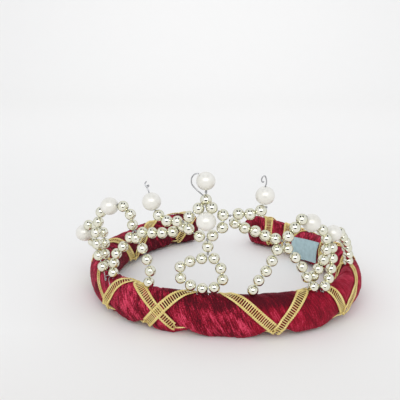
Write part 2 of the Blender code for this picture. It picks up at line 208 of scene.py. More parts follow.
# The hoop: a core wire padded with wadding and wound at a slant with a strip of crimson crushed
# velvet, each wrap over the last one's edge and pulled into wrinkles. The gold braids, wound on
# afterwards, press into it, and it swells between them.
HOOP_RADIUS = 76 * MM
HOOP_SKEW = 0.030
HOOP_PINCH = 0.050
HOOP_CENTRE = (1.05 * MM, -0.4 * MM)
LEFT_END = 103.0
RIGHT_END = 435.0
BAND_THICKNESS = 13.6 * MM
BAND_HEIGHT = 22.4 * MM
BAND_SQUARENESS = 2.3
END_ROUNDING = 7 * MM
HOOP_STEPS = 740
WRAP_STEPS = 92

# The strip and its wrinkles. Lengths along it are in millimetres, shares are parts of its width.
WRAPS_PER_TURN = 16
STRIP_WIDTH = 29 * MM
STRIP_TURN = 58
WRAP_LIP = 0.55 * MM
LIP_SHARE = 0.05
CALM_SHARE = 0.10
EDGE_WAVE = 0.03
EDGE_WAVE_LENGTH = 26
WRINKLE = 0.26 * MM
WRINKLE_LENGTH = 17
FINE_WRINKLE_LENGTH = 8
RIDGE_LENGTH = 21
LUMP = 0.38 * MM
LUMP_LENGTH = 9
SMOOTH_SHARE = 0.45
LEFT_CRUSH = 0.28
LEFT_CRUSH_END = 246

# The padding: how far it swells between the braids, and is pulled in at the sides and the back.
PRESSED = 0.25 * MM
SWOLLEN = 0.35 * MM
FRONT_SAG = 0.45 * MM
BULGE = 1.5 * MM
BULGE_PLACE = (331.0, 28.0)
BULGE_REACH = (7.0, 42.0)
LEFT_SHARE = 0.7
RIGHT_SHARE = 1.35
BACK_DIP = 1.5 * MM
BACK_RIGHT_SHARE = 1.2
BACK_RIGHT_START = 374
END_POINT = 2.6
END_POINT_REACH = 4.5
END_POINT_PLACE = (75.0, 38.0)
SIDE_TUCK = 0.8 * MM
LOWER_TUCK = 1.6 * MM
BRAID_REACH = 3.2 * MM
SWELL_REACH = 7.5 * MM

# The underside: how high the velvet and the braids are at its near edge, and at the least.
SIDE_LIFT = 1.6 * MM
FALLING_LOWEST = 5.6 * MM
RISING_LOWEST = 4.9 * MM
VELVET_FLOOR = 2.4 * MM
SAG_FLOOR = 0.3 * MM
UNDER_SLOPE = 0.34
BRAID_SLOPE = 0.46
UNDER_EDGE = 5 * MM
FALLING_LEAST = 1.6 * MM
RISING_LEAST = 0.6 * MM
VELVET_LEAST = 0.25 * MM
UNDER_BRAID = 0.4 * MM
UNDER_EASE = 2.2 * MM
FLOOR_GIVE = 0.06

# Stretches of the hoop: the angle where each starts, how far it eases in, where it ends, how far
# it eases out.
SAGGING = (239, 6, 289, 8)
SMOOTH = (277, 5, 352, 8)
LEFT_SIDE = (168, 20, 226, 12)
RIGHT_SIDE = (308, 14, 372, 20)
BACK_LEFT = (118, 12, 172, 14)
# Where the velvet gets painted shade, along the top of the front and at the right and left sides, and
# painted light, at the right.
PAINTED_SHADE_FRONT = (236, 8, 306, 12)
PAINTED_SHADE_RIGHT = (296, 10, 325, 8)
PAINTED_SHADE_LEFT = (180, 16, 226, 10)
PAINTED_LIGHT_RIGHT = (320, 6, 350, 8)

# One row for each pass of a braid over the outer face, as the angles of its top and bottom.
FALLING_BRAID = (  # angle at the top, angle at the bottom
    (110, 150),
    (172, 190),
    (201.6, 227.4),
    (230.5, 260),
    (271.2, 298.2),
    (311, 323.5),
    (352, 368),
    (374, 400),
    (408, 416),
    (422, 434),
)
RISING_BRAID = (  # angle at the bottom, angle at the top
    (82, 103),
    (124, 131),
    (166, 191),
    (211.5, 225),
    (231.3, 253.5),
    (282.5, 302.5),
    (307.5, 339.5),
    (356, 366),
    (373, 396),
    (412, 425),
)
BRAID_END_MARGIN = 5.3 * MM
BRAID_EASE = 12


def hoop_radius(angle):
    """Radius of the hoop's centre line at an angle in degrees."""
    turn = np.radians(angle)
    return HOOP_RADIUS * (1 - HOOP_SKEW * np.sin(2 * turn) - HOOP_PINCH * np.sin(3 * turn))


def band_surface(angle, winding, proud=0.0, share=1.0):
    """Points on the band: winding 0 is the outer face, 90 the top, 180 the inner face."""
    wound = np.radians(winding)
    across, upright = np.cos(wound), np.sin(wound)
    power = BAND_SQUARENESS
    reach = (np.abs(across) ** power + np.abs(upright) ** power) ** (-1 / power)
    across, upright = across * reach, upright * reach
    slope_x = np.copysign(np.abs(across) ** (power - 1), across) / (BAND_THICKNESS / 2)
    slope_z = np.copysign(np.abs(upright) ** (power - 1), upright) / (BAND_HEIGHT / 2)
    slope = np.hypot(slope_x, slope_z)
    lean = (BAND_THICKNESS / 2 * across + proud * slope_x / slope) * share
    height = BAND_HEIGHT / 2 + (BAND_HEIGHT / 2 * upright + proud * slope_z / slope) * share
    turn = np.radians(angle)
    radius = hoop_radius(angle) + lean
    x = HOOP_CENTRE[0] + radius * np.cos(turn)
    y = HOOP_CENTRE[1] + radius * np.sin(turn)
    return np.stack([x, y, height], -1)


def eased(x):
    """0 up to x = 0, 1 from x = 1, smooth between."""
    x = np.clip(x, 0, 1)
    return x * x * (3 - 2 * x)


def stretch(angle, start, ease_in, end, ease_out):
    """1 over a stretch of the hoop, 0 outside it."""
    return eased((angle - start) / ease_in) * eased((end - angle) / ease_out)


def braid_line(passes, falling, step=0.5 * MM):
    """Angles and windings, evenly spaced, along a braid whose slant changes smoothly."""
    knots = []
    for number, (first, second) in enumerate(passes):
        turns = -360 * number if falling else 360 * number
        start = 90 if falling else -90
        knots += [(first, start + turns), (second, -start + turns)]
    angles, windings = np.array(knots, float).T
    if falling:
        windings = -windings
    along = np.arange(windings[0], windings[-1], 1.0)
    spread = np.linspace(-BRAID_EASE, BRAID_EASE, 17)
    smooth = np.mean([np.interp(along + s, windings, angles) for s in spread], axis=0)
    if falling:
        along = -along
    margin = math.degrees(BRAID_END_MARGIN / HOOP_RADIUS)
    inside = (smooth > LEFT_END + margin) & (smooth < RIGHT_END - margin)
    smooth, along = smooth[inside], along[inside]
    points = band_surface(smooth, along)
    length = np.concatenate([[0], np.cumsum(np.linalg.norm(np.diff(points, axis=0), axis=1))])
    even = np.arange(0, length[-1], step)
    return np.interp(even, length, smooth), np.interp(even, length, along)


def distances(points, line):
    """Distance from each point to a line of points."""
    tree = kdtree.KDTree(len(line))
    for number, place in enumerate(line):
        tree.insert(place, number)
    tree.balance()
    return np.array([tree.find(point)[2] for point in points])


def grain(x, y, z=0.0):
    """Smooth noise from -1 to 1."""
    return np.array([noise.noise((a, b, c)) for a, b, c in zip(*np.broadcast_arrays(x, y, z))])


def wrap_place(angle, winding):
    """Which wrap of the strip a place lies on, and its place across that wrap from 0 to 1."""
    across = WRAPS_PER_TURN * angle / 360 + winding / 360
    number = np.floor(across)
    return number, across - number


def end_share(angle):
    """How full the band's section is near its rounded ends."""
    to_end = np.radians(np.minimum(angle - LEFT_END, RIGHT_END - angle)) * hoop_radius(angle)
    inside = np.clip(1 - to_end / END_ROUNDING, 0, 1)
    return np.maximum(0.06, np.sqrt(1 - inside**2))


def under_height(angle, points, edge_height, least, slope):
    """Lowest height of the underside, which slopes down from its near edge to the table."""
    turn = np.radians(angle)
    middle = HOOP_CENTRE[1] + hoop_radius(angle) * np.sin(turn)
    behind = points[:, 1] - middle + UNDER_EDGE * np.abs(np.sin(turn))
    return np.maximum(edge_height - slope * np.maximum(behind, 0), least)


def side_share(angle):
    """How much tighter the section is pulled in at the left and right of the hoop."""
    return LEFT_SHARE * stretch(angle, *LEFT_SIDE) + RIGHT_SHARE * stretch(angle, *RIGHT_SIDE)


def braid_edge(angle, lowest):
    """Lowest height of a braid at the near edge of the underside, pulled up more at the sides."""
    return lowest + SIDE_LIFT * side_share(angle)


def crush(angle):
    """How crushed the pile is: less so at the right of the front, more so at the left."""
    left = LEFT_CRUSH * eased((LEFT_CRUSH_END - angle) / 8)
    return 1 - (1 - SMOOTH_SHARE) * stretch(angle, *SMOOTH) + left


def velvet_relief(angle, winding):
    """How far the velvet stands proud of the padding. The numbers that multiply the wrap's own
    number only give each wrap another part of the noise."""
    number, across = wrap_place(angle, winding)
    along = (winding - 360 * number) / 360 * STRIP_TURN
    wave = grain(along / EDGE_WAVE_LENGTH, number * 7.7, across * 2) * EDGE_WAVE
    across = np.clip(across + wave * np.sin(np.pi * across), 0, 1)
    lip = WRAP_LIP * (eased(across / LIP_SHARE) - across)
    calm = eased(np.minimum(across, 1 - across) / CALM_SHARE)
    wrinkle = grain(across * 9, along / WRINKLE_LENGTH, number * 3.1)
    fine = grain(across * 22, along / FINE_WRINKLE_LENGTH, number * 5.3)
    wound = np.radians(winding)
    lump = grain(angle / LUMP_LENGTH, np.cos(wound) * 1.1, np.sin(wound) * 1.1)
    ridge = 1 - 2 * np.abs(grain(across * 5 + 7, along / RIDGE_LENGTH, number * 2.3 + 4))
    folds = WRINKLE * (wrinkle + 0.5 * fine + 0.8 * ridge) * crush(angle)
    return lip + calm * folds + LUMP * lump


def tuck(angle, winding):
    """How far the band is pulled in: at the sides of the hoop, most on its outer lower quarter,
    and along the top of the back."""
    wound = np.radians(winding)
    outer = eased((np.cos(wound) + 0.3) / 0.8)
    lower = eased((-np.sin(wound) - 0.1) / 0.7)
    top = eased((np.sin(wound) - 0.2) / 0.6)
    back = stretch(angle, *BACK_LEFT) + BACK_RIGHT_SHARE * eased((angle - BACK_RIGHT_START) / 12)
    return side_share(angle) * outer * (SIDE_TUCK + LOWER_TUCK * lower) + BACK_DIP * back * top


falling_line = band_surface(*braid_line(FALLING_BRAID, True), PRESSED)
rising_line = band_surface(*braid_line(RISING_BRAID, False), PRESSED)


def velvet_points():
    """The band's points, pressed in under the braids and swollen between them."""
    rounding = math.degrees(END_ROUNDING / HOOP_RADIUS)
    tip = np.array([0.0, 0.03, 0.09, 0.18, 0.3, 0.45, 0.62, 0.8])
    middle = np.linspace(LEFT_END + rounding, RIGHT_END - rounding, HOOP_STEPS)
    around = np.concatenate([LEFT_END + rounding * tip, middle, RIGHT_END - rounding * tip[::-1]])
    windings = np.arange(WRAP_STEPS) * 360 / WRAP_STEPS
    angle, winding = (g.ravel() for g in np.meshgrid(around, windings, indexing="ij"))
    plain = band_surface(angle, winding, PRESSED)
    from_falling, from_rising = distances(plain, falling_line), distances(plain, rising_line)
    nearest = np.minimum(from_falling, from_rising)
    swell = eased((nearest - BRAID_REACH) / (SWELL_REACH - BRAID_REACH))
    press = eased((nearest - BRAID_REACH * 0.8) / (BRAID_REACH * 0.9))
    wound = np.radians(winding)
    sagging = stretch(angle, *SAGGING)
    sag = FRONT_SAG * sagging * (1 - np.sin(wound)) / 2
    relief = velvet_relief(angle, winding) * (0.15 + 0.85 * press)
    turned = (winding - BULGE_PLACE[1] + 180) % 360 - 180
    apart = np.hypot((angle - BULGE_PLACE[0]) / BULGE_REACH[0], turned / BULGE_REACH[1])
    bulge = BULGE * (1 - eased(apart))
    proud = PRESSED + (SWOLLEN + sag + bulge - PRESSED) * swell + relief - tuck(angle, winding)
    fold = np.exp(-(((winding - END_POINT_PLACE[0]) / END_POINT_PLACE[1]) ** 2))
    fold *= eased((angle - RIGHT_END + END_POINT_REACH) / END_POINT_REACH)
    points = band_surface(angle + END_POINT * fold, winding, proud, end_share(angle))
    edge_height = VELVET_FLOOR + (SAG_FLOOR - VELVET_FLOOR) * sagging
    floor = under_height(angle, points, edge_height, VELVET_LEAST, UNDER_SLOPE)
    falling_under = (from_falling, FALLING_LOWEST, FALLING_LEAST)
    rising_under = (from_rising, RISING_LOWEST, RISING_LEAST)
    for away, lowest, least in (falling_under, rising_under):
        edge = braid_edge(angle, lowest)
        over = under_height(angle, points, edge, least, BRAID_SLOPE) + UNDER_BRAID
        floor = np.maximum(floor, over * (1 - eased((away - BRAID_REACH) / UNDER_EASE)))
    depth = floor - points[:, 2]
    points[:, 2] = np.where(depth > 0, floor + FLOOR_GIVE * np.maximum(depth, 0), points[:, 2])
    return points, angle, winding, len(around)


def tube_faces(rings, sides):
    """Faces between rings of points, with both ends closed."""
    quads = []
    for ring in range(rings - 1):
        for side in range(sides):
            a, b = ring * sides + side, ring * sides + (side + 1) % sides
            quads.append((a, b, b + sides, a + sides))
    ends = [tuple(reversed(range(sides))), tuple(range((rings - 1) * sides, rings * sides))]
    return quads + ends


def strip_uv(piece, angle, winding):
    """UVs in metres: across the strip, and along it."""
    layer = piece.data.uv_layers.new(name="strip")
    corner_point = np.zeros(len(piece.data.loops), int)
    piece.data.loops.foreach_get("vertex_index", corner_point)
    uv = np.zeros((len(corner_point), 2))
    for face in piece.data.polygons:
        corners = np.array(face.loop_indices)
        points = corner_point[corners]
        wound = winding[points]
        if wound.max() - wound.min() > 180 and len(points) == 4:
            wound = np.where(wound < 180, wound + 360, wound)
        number = math.floor(WRAPS_PER_TURN * angle[points].mean() / 360 + wound.mean() / 360)
        across = WRAPS_PER_TURN * angle[points] / 360 + wound / 360 - number
        uv[corners, 0] = across * STRIP_WIDTH
        uv[corners, 1] = (wound / 360 - number) * STRIP_TURN * MM
    layer.data.foreach_set("uv", uv.ravel())


# The velvet's colours: the dark end is both the dark of the crushed pile and painted shade, the light end
# both its light crimson and painted sheen.
VELVET_DARK_AND_SHADE = (0.075, 0.0020, 0.008, 1)
VELVET_MID = (0.300, 0.004, 0.020, 1)
VELVET_LIGHT_AND_SHEEN = (0.680, 0.060, 0.125, 1)
VELVET_SHEEN = (1.0, 0.18, 0.30, 1)
# How much painted shade and light the velvet gets: on the inner face at the back left, along the top of
# the front, at the sides, at the right, and in a line at the edge of each wrap.
SHADING_MIDDLE = 0.5
INNER_PAINTED_SHADE = 0.62
FRONT_TOP_PAINTED_SHADE = 0.36
SIDE_PAINTED_SHADE = 0.07
LEFT_PAINTED_SHADE_SHARE = 0.8
RIGHT_PAINTED_LIGHT = 0.06
SEAM_PAINTED_SHADE = 0.22
SEAM_SHARE = 0.03
# The painted shade under the braids: how near the braid's middle it is full, how far it eases out, and how
# much darker it makes the velvet.
SLOT_REACH = 1.9 * MM
SLOT_EASE = 0.8 * MM
SLOT_PAINTED_SHADE = 0.3


def stretched_noise(material, coordinates, scale, **values):
    """A noise on stretched coordinates."""
    mapping = add_node(material, "ShaderNodeMapping")
    mapping.inputs["Scale"].default_value = scale
    join(material, coordinates, mapping.inputs["Vector"])
    texture = add_node(material, "ShaderNodeTexNoise", **values)
    join(material, mapping.outputs["Vector"], texture.inputs["Vector"])
    return texture.outputs["Fac"]


def own_noise(material, **values):
    """A noise on the piece's own coordinates."""
    place = add_node(material, "ShaderNodeTexCoord").outputs["Object"]
    return stretched_noise(material, place, (1, 1, 1), **values)


def summed(material, parts):
    """The sum of weighted sources, each counted from its middle value."""
    total = None
    for source, weight in parts:
        part = add_node(material, "ShaderNodeMath", operation="MULTIPLY_ADD")
        part.inputs[1].default_value = weight
        part.inputs[2].default_value = -0.5 * weight
        join(material, source, part.inputs[0])
        if total is None:
            total = part.outputs[0]
            continue
        plus = add_node(material, "ShaderNodeMath", operation="ADD")
        join(material, total, plus.inputs[0])
        join(material, part.outputs[0], plus.inputs[1])
        total = plus.outputs[0]
    return total


def colour_by(material, shader, source, *stops):
    """The base colour, read from stops of position and colour at a source from 0 to 1."""
    ramp = add_node(material, "ShaderNodeValToRGB")
    elements = ramp.color_ramp.elements
    elements[0].position, elements[0].color = stops[0]
    elements[1].position, elements[1].color = stops[-1]
    for position, colour in stops[1:-1]:
        elements.new(position).color = colour
    join(material, source, ramp.inputs["Fac"])
    join(material, ramp.outputs["Color"], shader.inputs["Base Color"])


def bump_by(material, shader, height, strength, depth):
    """Fine relief from a height."""
    bump = add_node(material, "ShaderNodeBump", Strength=strength, Distance=depth)
    join(material, height, bump.inputs["Height"])
    join(material, bump.outputs["Normal"], shader.inputs["Normal"])


def crushed_velvet():
    """Crimson velvet whose pile is crushed in streaks along the strip. The streaks and speckle are partly
    the pile's own tone and partly painted sheen and sparkle, and each point's painted shade and light
    shifts the tone.
    """
    material, shader = new_material("crimson crushed velvet")
    place = add_node(material, "ShaderNodeUVMap", uv_map="strip").outputs["UV"]
    streak = stretched_noise(
        material, place, (1500, 230, 1), Scale=1.0, Detail=2.0, Roughness=0.55, Distortion=0.5)
    blotch = stretched_noise(
        material, place, (170, 70, 1), Scale=1.0, Detail=2.0, Roughness=0.5, Distortion=0.8)
    pile = stretched_noise(material, place, (2900, 1600, 1), Scale=1.0, Detail=2.0, Roughness=0.7)
    # Each point's painted shade and light sets the middle of the velvet's tone.
    nap = add_node(material, "ShaderNodeAttribute", attribute_name="nap").outputs["Fac"]
    crushed = add_node(material, "ShaderNodeAttribute", attribute_name="crush").outputs["Fac"]
    pattern = summed(material, ((streak, 2.3), (blotch, 1.6), (pile, 2.2)))
    tone = add_node(material, "ShaderNodeMath", operation="MULTIPLY_ADD")
    join(material, pattern, tone.inputs[0])
    join(material, crushed, tone.inputs[1])
    join(material, nap, tone.inputs[2])
    stops = ((0.12, VELVET_DARK_AND_SHADE), (0.52, VELVET_MID), (0.98, VELVET_LIGHT_AND_SHEEN))
    colour_by(material, shader, tone.outputs[0], *stops)
    shader.inputs["Roughness"].default_value = 0.65
    shader.inputs["Specular IOR Level"].default_value = 0.12
    shader.inputs["Sheen Weight"].default_value = 0.25
    shader.inputs["Sheen Roughness"].default_value = 0.35
    shader.inputs["Sheen Tint"].default_value = VELVET_SHEEN
    bump_by(material, shader, summed(material, ((streak, 1.0), (pile, 0.8))), 0.6, 0.45 * MM)
    return material


def painted_nap_shading(angle, winding):
    """Painted shade and light for the way the pile lies: painted shade on the inner face at the back left,
    along the top of the front, a little at the sides and in a line at the edge of each wrap, and a little
    painted light at the right."""
    wound = np.radians(winding)
    inner = eased((-np.cos(wound) + 0.1) / 0.6)
    back_left = eased((np.cos(np.radians(angle - 150)) + 0.1) / 0.6)
    top = eased((np.sin(wound) - 0.3) / 0.5)
    sides = stretch(angle, *PAINTED_SHADE_RIGHT) + LEFT_PAINTED_SHADE_SHARE * stretch(angle, *PAINTED_SHADE_LEFT)
    # Painted shade in the crease along the edge of each wrap.
    seam_shade = np.exp(-((wrap_place(angle, winding)[1] / SEAM_SHARE) ** 2))
    shade = SHADING_MIDDLE - INNER_PAINTED_SHADE * inner * back_left * (1 - 0.6 * top)
    shade -= FRONT_TOP_PAINTED_SHADE * top * stretch(angle, *PAINTED_SHADE_FRONT) + SIDE_PAINTED_SHADE * sides
    shade += RIGHT_PAINTED_LIGHT * stretch(angle, *PAINTED_LIGHT_RIGHT)
    return shade - SEAM_PAINTED_SHADE * seam_shade


def mark(piece, name, values):
    """A number for each point of a piece, for its material."""
    layer = piece.data.attributes.new(name, "FLOAT", "POINT")
    layer.data.foreach_set("value", np.asarray(values, np.float32))


VELVET = crushed_velvet()
points, angle, winding, sections = velvet_points()
velvet = new_piece("velvet_cover", points, tube_faces(sections, WRAP_STEPS), VELVET)
strip_uv(velvet, angle, winding)
# Painted shade: the velvet is darker under the braids, where it shows between the bars.
near_braid = np.minimum(distances(points, falling_line), distances(points, rising_line))
slot_shade_mask = 1 - eased((near_braid - SLOT_REACH) / SLOT_EASE)
mark(velvet, "nap", painted_nap_shading(angle, winding) * (1 - SLOT_PAINTED_SHADE * slot_shade_mask))
mark(velvet, "crush", crush(angle))
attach(velvet, "root")
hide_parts("velvet_band")

# The pile: tufts of velvet pile that stand up out of the crushed nap, thickest along the top and
# bottom of the hoop, where the strip is bent and its edges fray.
TUFTS = 46000
TUFT_LENGTH = (0.35 * MM, 0.95 * MM)
TUFT_ROOT = 0.13 * MM
TUFT_SLANT = 0.75
FRAYED = 2.3
TUFT_DEPTH = 0.1 * MM
TUFT_SPREAD = 0.6 * MM
TUFT_SEED = 7


def velvet_pile(cover, material):
    """Small three-sided tufts at random places on the velvet between the braids."""
    rng = np.random.default_rng(TUFT_SEED)
    mesh = cover.data
    cover_points = np.array([v.co for v in mesh.vertices])
    quads = np.array([f.vertices[:] for f in mesh.polygons if len(f.vertices) == 4])
    loops = np.array([f.loop_start for f in mesh.polygons if len(f.vertices) == 4])
    a, b, c, d = (cover_points[quads[:, i]] for i in range(4))
    normals = np.cross(c - a, d - b)
    size = np.linalg.norm(normals, axis=1)
    edge_on = 0.35 + np.abs(normals[:, 2]) / size
    free = (near_braid[quads].min(1) > BRAID_REACH * 0.9) & (a[:, 2] > VELVET_FLOOR * 0.6)
    weight = size * edge_on * free * (0.5 + 0.5 * crush(angle[quads[:, 0]]))
    chosen = rng.choice(len(quads), TUFTS, p=weight / weight.sum())
    u, v = rng.random((2, TUFTS, 1))
    roots = (a[chosen] * (1 - u) + b[chosen] * u) * (1 - v) + (d[chosen] * (1 - u) + c[chosen] * u) * v
    up = normals[chosen] / size[chosen, None]
    along = (b - a)[chosen]
    along /= np.linalg.norm(along, axis=1, keepdims=True)
    across = np.cross(up, along)
    crest = eased((normals[chosen, 2:3] / size[chosen, None] - 0.80) / 0.15)
    clump = eased(grain(angle[quads[chosen, 0]] * 0.8, winding[quads[chosen, 0]] / 25)[:, None] + 0.6)
    length = rng.uniform(*TUFT_LENGTH, (TUFTS, 1)) * (1 + FRAYED * crest * clump)
    slant = rng.normal(0, TUFT_SLANT, (2, TUFTS, 1))
    tips = roots + length * (up * (0.55 + 0.35 * crest) + along * slant[0] * 0.6 + across * slant[1] * 0.6)
    roots = roots - up * TUFT_DEPTH
    turn = rng.random((TUFTS, 1)) * 2 * math.pi
    root = TUFT_ROOT * (1 + 1.5 * crest)
    turns = [turn + k for k in (0, 2.1, 4.2)]
    corners = [roots + root * (along * np.cos(t) + across * np.sin(t)) for t in turns]
    spots = np.stack([*corners, tips], 1).reshape(-1, 3)
    first = np.arange(TUFTS)[:, None] * 4
    tuft = np.array([(0, 2, 1), (0, 1, 3), (1, 2, 3), (2, 0, 3)])
    faces = (first[:, None] + tuft[None]).reshape(-1, 3)
    pile = new_piece("velvet_pile", spots, faces, material)
    cover_uv = np.zeros(len(mesh.loops) * 2)
    mesh.uv_layers["strip"].data.foreach_get("uv", cover_uv)
    place = cover_uv.reshape(-1, 2)[loops[chosen]] + rng.normal(0, TUFT_SPREAD, (TUFTS, 2))
    layer = pile.data.uv_layers.new(name="strip")
    layer.data.foreach_set("uv", np.repeat(place, 12, axis=0).ravel())
    # Each tuft takes the painted shade and light of the velvet under it, with a random change of tone.
    shade = painted_nap_shading(angle, winding)[quads[chosen, 0]] + rng.normal(0.03, 0.14, TUFTS)
    mark(pile, "nap", np.repeat(shade, 4))
    mark(pile, "crush", np.repeat(crush(angle[quads[chosen, 0]]), 4))
    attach(pile, "root")


velvet_pile(velvet, VELVET)

# The braids: two lengths of metallic ladder braid, wound round the hoop in opposite ways. Each
# has a pair of ribbed cords along either edge and short bars worked across between them, and the
# velvet shows between the bars. The rising braid lies over the falling one where they cross.
BRAID_WIDTH = 6.2 * MM
CORD_HALF_WIDTH = 0.36 * MM
CORD_HALF_THICKNESS = 0.34 * MM
CORD_SIDES = 6
CORD_RIB = 0.30
BAR_PITCH = 1.28 * MM
BAR_HALF_WIDTH = 0.29 * MM
BAR_HALF_THICKNESS = 0.25 * MM
BAR_SIDES = 6
BRAID_SEAT = 0.78 * MM
UNDER_FOLD = 0.45
FLAT_EASE = 1.5 * MM
SIDE_FOLD = 0.58
FALLING_FOLDED = (192, 4, 218, 4)
RISING_FOLDED = (326, 4, 352, 4)
CROSSING_RISE = 0.80 * MM
CLIMB_END = 3.0 * MM
CLIMB_RUN = 4.5 * MM
RINGS_PER_PITCH = 3
LEAST_HEIGHT = 0.05 * MM
BAR_PLACES = np.array([-1.0, -0.78, -0.52, 0.0, 0.52, 0.78, 1.0]) * (BRAID_WIDTH / 2 - 0.1 * MM)
BAR_BOW = np.array([0.05, 0.32, 0.20, 0.10, 0.20, 0.32, 0.05]) * MM
GOLD_DARK = (0.66, 0.46, 0.11, 1)
GOLD_LIGHT = (1.00, 0.91, 0.45, 1)


def braid_frame(angles, windings, proud, edge_height, lowest):
    """Places along a braid, with the directions across it and out of the band."""
    proud = proud - tuck(angles, windings)
    place = band_surface(angles, windings, proud)
    out = band_surface(angles, windings, proud + 1 * MM) - place
    out /= np.linalg.norm(out, axis=1, keepdims=True)
    floor = under_height(angles, place, braid_edge(angles, edge_height), lowest, BRAID_SLOPE)
    raised = eased(np.maximum(floor - place[:, 2], 0) / FLAT_EASE)[:, None]
    place[:, 2] = np.maximum(place[:, 2], floor)
    out = out * (1 - raised) + np.array([0, 0, -1.0]) * raised
    out /= np.linalg.norm(out, axis=1, keepdims=True)
    run = np.gradient(place, axis=0)
    run /= np.linalg.norm(run, axis=1, keepdims=True)
    side = np.cross(out, run)
    side /= np.linalg.norm(side, axis=1, keepdims=True)
    return place, side * (1 - UNDER_FOLD * raised), out, run


def ring_points(centres, side, out, wide, thick, sides):
    """Rings of an oval section at each centre."""
    turns = np.arange(sides) * 2 * math.pi / sides
    wide, thick = np.broadcast_to(wide, len(centres)), np.broadcast_to(thick, len(centres))
    across = np.cos(turns)[None, :, None] * (side * wide[:, None])[:, None]
    upright = np.sin(turns)[None, :, None] * (out * thick[:, None])[:, None]
    return (centres[:, None] + across + upright).reshape(-1, 3)


class Stock:
    """Points and faces gathered for one piece."""

    def __init__(self):
        self.points = []
        self.faces = []
        self.count = 0

    def add(self, points, faces):
        """Adds points, none of them under the table, and the faces between them."""
        self.faces += [tuple(i + self.count for i in face) for face in faces]
        points = np.array(points)
        points[:, 2] = np.maximum(points[:, 2], LEAST_HEIGHT)
        self.points.append(points)
        self.count += len(points)

    def piece(self, name, material):
        """The mesh object of all that was added."""
        return new_piece(name, np.concatenate(self.points), self.faces, material)


def ladder_braid(name, passes, falling, other, edge_height, lowest, folded, material):
    """Edge cords and bars of one braid, which climbs over the other one where they cross, and is
    folded narrower over a stretch of the hoop."""
    step = BAR_PITCH / RINGS_PER_PITCH
    angles, windings = braid_line(passes, falling, step)
    lift = np.full(len(angles), BRAID_SEAT)
    if other is not None:
        apart = distances(band_surface(angles, windings, PRESSED), other)
        lift += CROSSING_RISE * eased((CLIMB_END + CLIMB_RUN - apart) / CLIMB_RUN)
    place, side, out, run = braid_frame(angles, windings, lift, edge_height, lowest)
    side = side * (1 - SIDE_FOLD * stretch(angles, *folded)[:, None])
    stock = Stock()
    count = len(place)
    rib = 1 + CORD_RIB * np.cos(2 * math.pi * np.arange(count) / RINGS_PER_PITCH)
    outer = BRAID_WIDTH / 2 - CORD_HALF_WIDTH * (1 + CORD_RIB)
    inner = outer - 1.7 * CORD_HALF_WIDTH
    for offset in (-outer, -inner, inner, outer):
        centres = place + side * offset
        wide, thick = CORD_HALF_WIDTH * rib, CORD_HALF_THICKNESS * rib
        rings = ring_points(centres, side, out, wide, thick, CORD_SIDES)
        stock.add(rings, tube_faces(count, CORD_SIDES))
    steps = len(BAR_PLACES)
    faces = tube_faces(steps, BAR_SIDES)
    for i in range(0, count, RINGS_PER_PITCH):
        centres = place[i] + side[i] * BAR_PLACES[:, None] + out[i] * BAR_BOW[:, None]
        runs, outs = np.tile(run[i], (steps, 1)), np.tile(out[i], (steps, 1))
        rings = ring_points(centres, runs, outs, BAR_HALF_WIDTH, BAR_HALF_THICKNESS, BAR_SIDES)
        stock.add(rings, faces)
    braid = stock.piece(name, material)
    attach(braid, "root")
    return braid


def gold_thread():
    """Fine metallic thread, duller where it is worn."""
    material, shader = new_material("gold thread")
    thread = own_noise(material, Scale=2400.0, Detail=2.0, Roughness=0.6)
    wear = own_noise(material, Scale=160.0, Detail=3.0, Roughness=0.6)
    mixed = add_node(material, "ShaderNodeMath", operation="ADD")
    join(material, thread, mixed.inputs[0])
    join(material, wear, mixed.inputs[1])
    half = add_node(material, "ShaderNodeMath", operation="MULTIPLY")
    half.inputs[1].default_value = 0.5
    join(material, mixed.outputs[0], half.inputs[0])
    colour_by(material, shader, half.outputs[0], (0.30, GOLD_DARK), (0.72, GOLD_LIGHT))
    shader.inputs["Metallic"].default_value = 0.55
    shader.inputs["Roughness"].default_value = 0.42
    bump_by(material, shader, thread, 0.6, 0.12 * MM)
    return material


GOLD = gold_thread()
falling_braid = ladder_braid(
    "falling_ladder_braid", FALLING_BRAID, True, None,
    FALLING_LOWEST, FALLING_LEAST, FALLING_FOLDED, GOLD)
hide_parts("falling_braid")
rising_braid = ladder_braid(
    "rising_ladder_braid", RISING_BRAID, False, falling_line,
    RISING_LOWEST, RISING_LEAST, RISING_FOLDED, GOLD)
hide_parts("rising_braid")

# The patch: a short piece of pale blue woven tape, cut square and stuck to the inner face of the
# hoop, at the right of the back. It lies flat on the velvet, and its cut edges curl up a little.
PATCH_ANGLES = (14.0, 38.0)
PATCH_TOP = (133.0, 151.0)
PATCH_BOTTOM = (202.0, 226.0)
PATCH_THICKNESS = 0.45 * MM
PATCH_SEAT = 1.15 * MM
PATCH_CURL = 0.35 * MM
PATCH_RIPPLE = 0.25 * MM
PATCH_STEPS = 40
TAPE_DARK = (0.36, 0.51, 0.54, 1)
TAPE_LIGHT = (0.50, 0.66, 0.70, 1)


def tape_cloth():
    """Pale blue tape with a fine weave."""
    material, shader = new_material("pale blue tape")
    place = add_node(material, "ShaderNodeUVMap", uv_map="tape").outputs["UV"]
    tone = stretched_noise(material, place, (9, 5, 1), Scale=1.0, Detail=4.0, Roughness=0.6)
    colour_by(material, shader, tone, (0.30, TAPE_DARK), (0.75, TAPE_LIGHT))
    shader.inputs["Roughness"].default_value = 0.75
    shader.inputs["Specular IOR Level"].default_value = 0.25
    weave = add_node(material, "ShaderNodeTexWave", Scale=28.0, Distortion=0.6)
    join(material, place, weave.inputs["Vector"])
    bump_by(material, shader, weave.outputs["Fac"], 0.25, 0.1 * MM)
    return material


